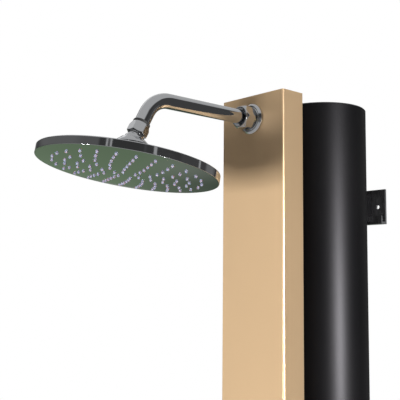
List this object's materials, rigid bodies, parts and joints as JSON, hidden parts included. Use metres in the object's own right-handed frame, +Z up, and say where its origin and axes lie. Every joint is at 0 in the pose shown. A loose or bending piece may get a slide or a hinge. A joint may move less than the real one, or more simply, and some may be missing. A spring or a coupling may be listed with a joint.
{
  "type": "wall-mounted solar shower",
  "caption": "Wall-hung outdoor shower with a flat satin column, a round black water tank behind it, a bent arm, a round rain head on a ball joint and a lever mixer.",
  "frame": {"origin": "centre of the upper wall plate's back face, on the wall", "axes": "+X to the user's right hand side facing the wall, +Y into the wall, +Z up; the user stands on the -Y side"},
  "size_m": [0.2502, 0.6219, 1.196],
  "materials": {
    "column_finish": "satin champagne metallic coat on an aluminium profile",
    "tank_black": "satin black plastic",
    "chrome": "polished chrome plate",
    "face_mirror": "mirror polished plate",
    "nozzle_silicone": "translucent grey silicone",
    "rubber": "black rubber",
    "seat_plastic": "white acetal plastic",
    "inner_plastic": "black plastic fittings",
    "bracket_steel": "stainless steel",
    "brass": "plain cast and turned brass",
    "pipe_steel": "thin stainless steel tube"
  },
  "bodies": {
    "column": {"column_shell": "column_finish", "column_top_cap": "column_finish", "column_bottom_cap": "column_finish", "tank_tube": "tank_black", "tank_top_cap": "tank_black", "tank_bottom_cap": "tank_black", "tank_cap_seals": "rubber", "tank_standpipe": "inner_plastic", "tank_cold_nipple": "inner_plastic", "tank_union_nuts": "inner_plastic", "tank_elbows": "inner_plastic", "drain_plug": "inner_plastic", "upper_wall_plate": "bracket_steel", "lower_wall_plate": "bracket_steel", "upper_saddle": "tank_black", "lower_saddle": "tank_black", "lock_screws": "bracket_steel", "upper_spacer": "tank_black", "lower_spacer": "tank_black", "spacer_screws": "bracket_steel", "arm_tube": "chrome", "arm_gasket": "rubber", "wall_flange": "chrome", "arm_socket": "brass", "arm_ferrule": "chrome", "arm_nut": "chrome", "nut_seal_ring": "rubber", "swivel_nut": "chrome", "ball_stem": "chrome", "inlet_strainer": "rubber", "mixer_body": "brass", "cartridge": "seat_plastic", "cartridge_lock_ring": "brass", "mixer_escutcheon": "chrome", "mixer_shroud": "chrome", "supply_tee": "brass", "hot_elbow": "brass", "cold_link_pipe": "pipe_steel", "hot_link_pipe": "pipe_steel", "cold_pipe": "pipe_steel", "hot_pipe": "pipe_steel", "riser_pipe": "pipe_steel", "riser_clips": "seat_plastic", "supply_inlet": "brass", "inlet_nut": "brass"},
    "upper_seat": {"ball_liner": "seat_plastic"},
    "lower_seat": {"ball_cup": "seat_plastic"},
    "head": {"swivel_collar": "chrome", "head_shell": "chrome", "face_plate": "face_mirror", "nozzle_mat": "nozzle_silicone", "mat_clamp_ring": "seat_plastic"},
    "mixer_turner": {"cartridge_carrier": "seat_plastic"},
    "mixer_lever": {"mixer_spindle": "brass", "lever_handle": "chrome"}
  },
  "joints": [
    {"name": "head_tilt", "type": "hinge", "parent": "column", "child": "upper_seat", "pos_m": [0, -0.49208, 0.05735], "axis": [1, 0, 0], "range_deg": [-42.5, 1.8]},
    {"name": "head_roll", "type": "hinge", "parent": "upper_seat", "child": "lower_seat", "pos_m": [0, -0.49208, 0.05735], "axis": [0, 0.9881, -0.1537], "range_deg": [-14.3, 9.6]},
    {"name": "head_spin", "type": "hinge", "parent": "lower_seat", "child": "head", "pos_m": [0, -0.49208, 0.05735], "axis": [0.0414, 0.1535, 0.9873], "continuous": true},
    {"name": "lever_turn", "type": "hinge", "parent": "column", "child": "mixer_turner", "pos_m": [0, -0.2647, -0.8], "axis": [0, -1, 0], "range_deg": [-45, 45]},
    {"name": "lever_lift", "type": "hinge", "parent": "mixer_turner", "child": "mixer_lever", "pos_m": [0, -0.2647, -0.8], "axis": [-1, 0, 0], "range_deg": [0, 25]}
  ]
}
